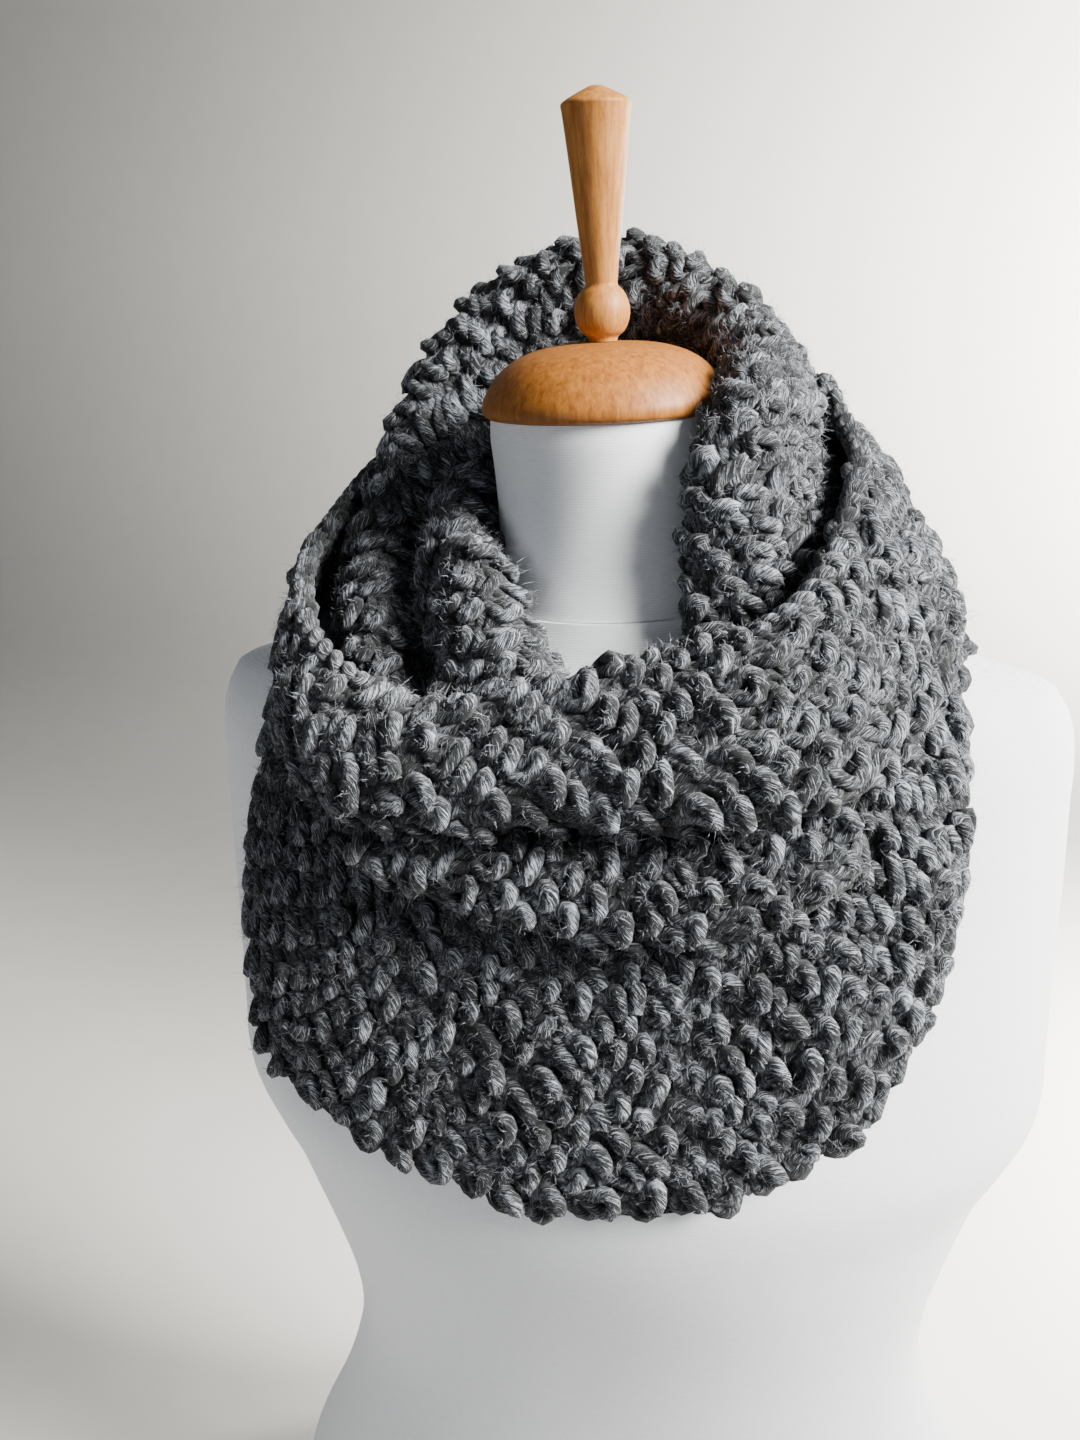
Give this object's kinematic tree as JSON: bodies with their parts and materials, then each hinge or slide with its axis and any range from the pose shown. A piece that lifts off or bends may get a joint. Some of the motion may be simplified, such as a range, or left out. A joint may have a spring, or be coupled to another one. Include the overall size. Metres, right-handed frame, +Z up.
{
  "type": "infinity scarf on limbless dress form",
  "caption": "Chunky knitted infinity scarf wound round the neck of a limbless dress form that ends in a turned wooden neck cap and finial.",
  "frame": {"origin": "the middle of the form's flat underside, on the neck's axis", "axes": "+Z up, the form faces -Y, its left shoulder is at +X"},
  "size_m": [0.424, 0.2794, 0.8493],
  "materials": {
    "jersey": "smooth knitted cover",
    "beech": "clear satin varnish",
    "yarn": "soft matt heather yarn"
  },
  "bodies": {
    "root": {"form_torso": "jersey", "form_neck": "jersey", "neck_cap": "beech", "finial": "beech", "scarf_bib": "yarn", "scarf_middle_swag": "yarn", "scarf_upper_swag": "yarn", "scarf_hood": "yarn", "scarf_left_strip": "yarn"}
  },
  "joints": []
}
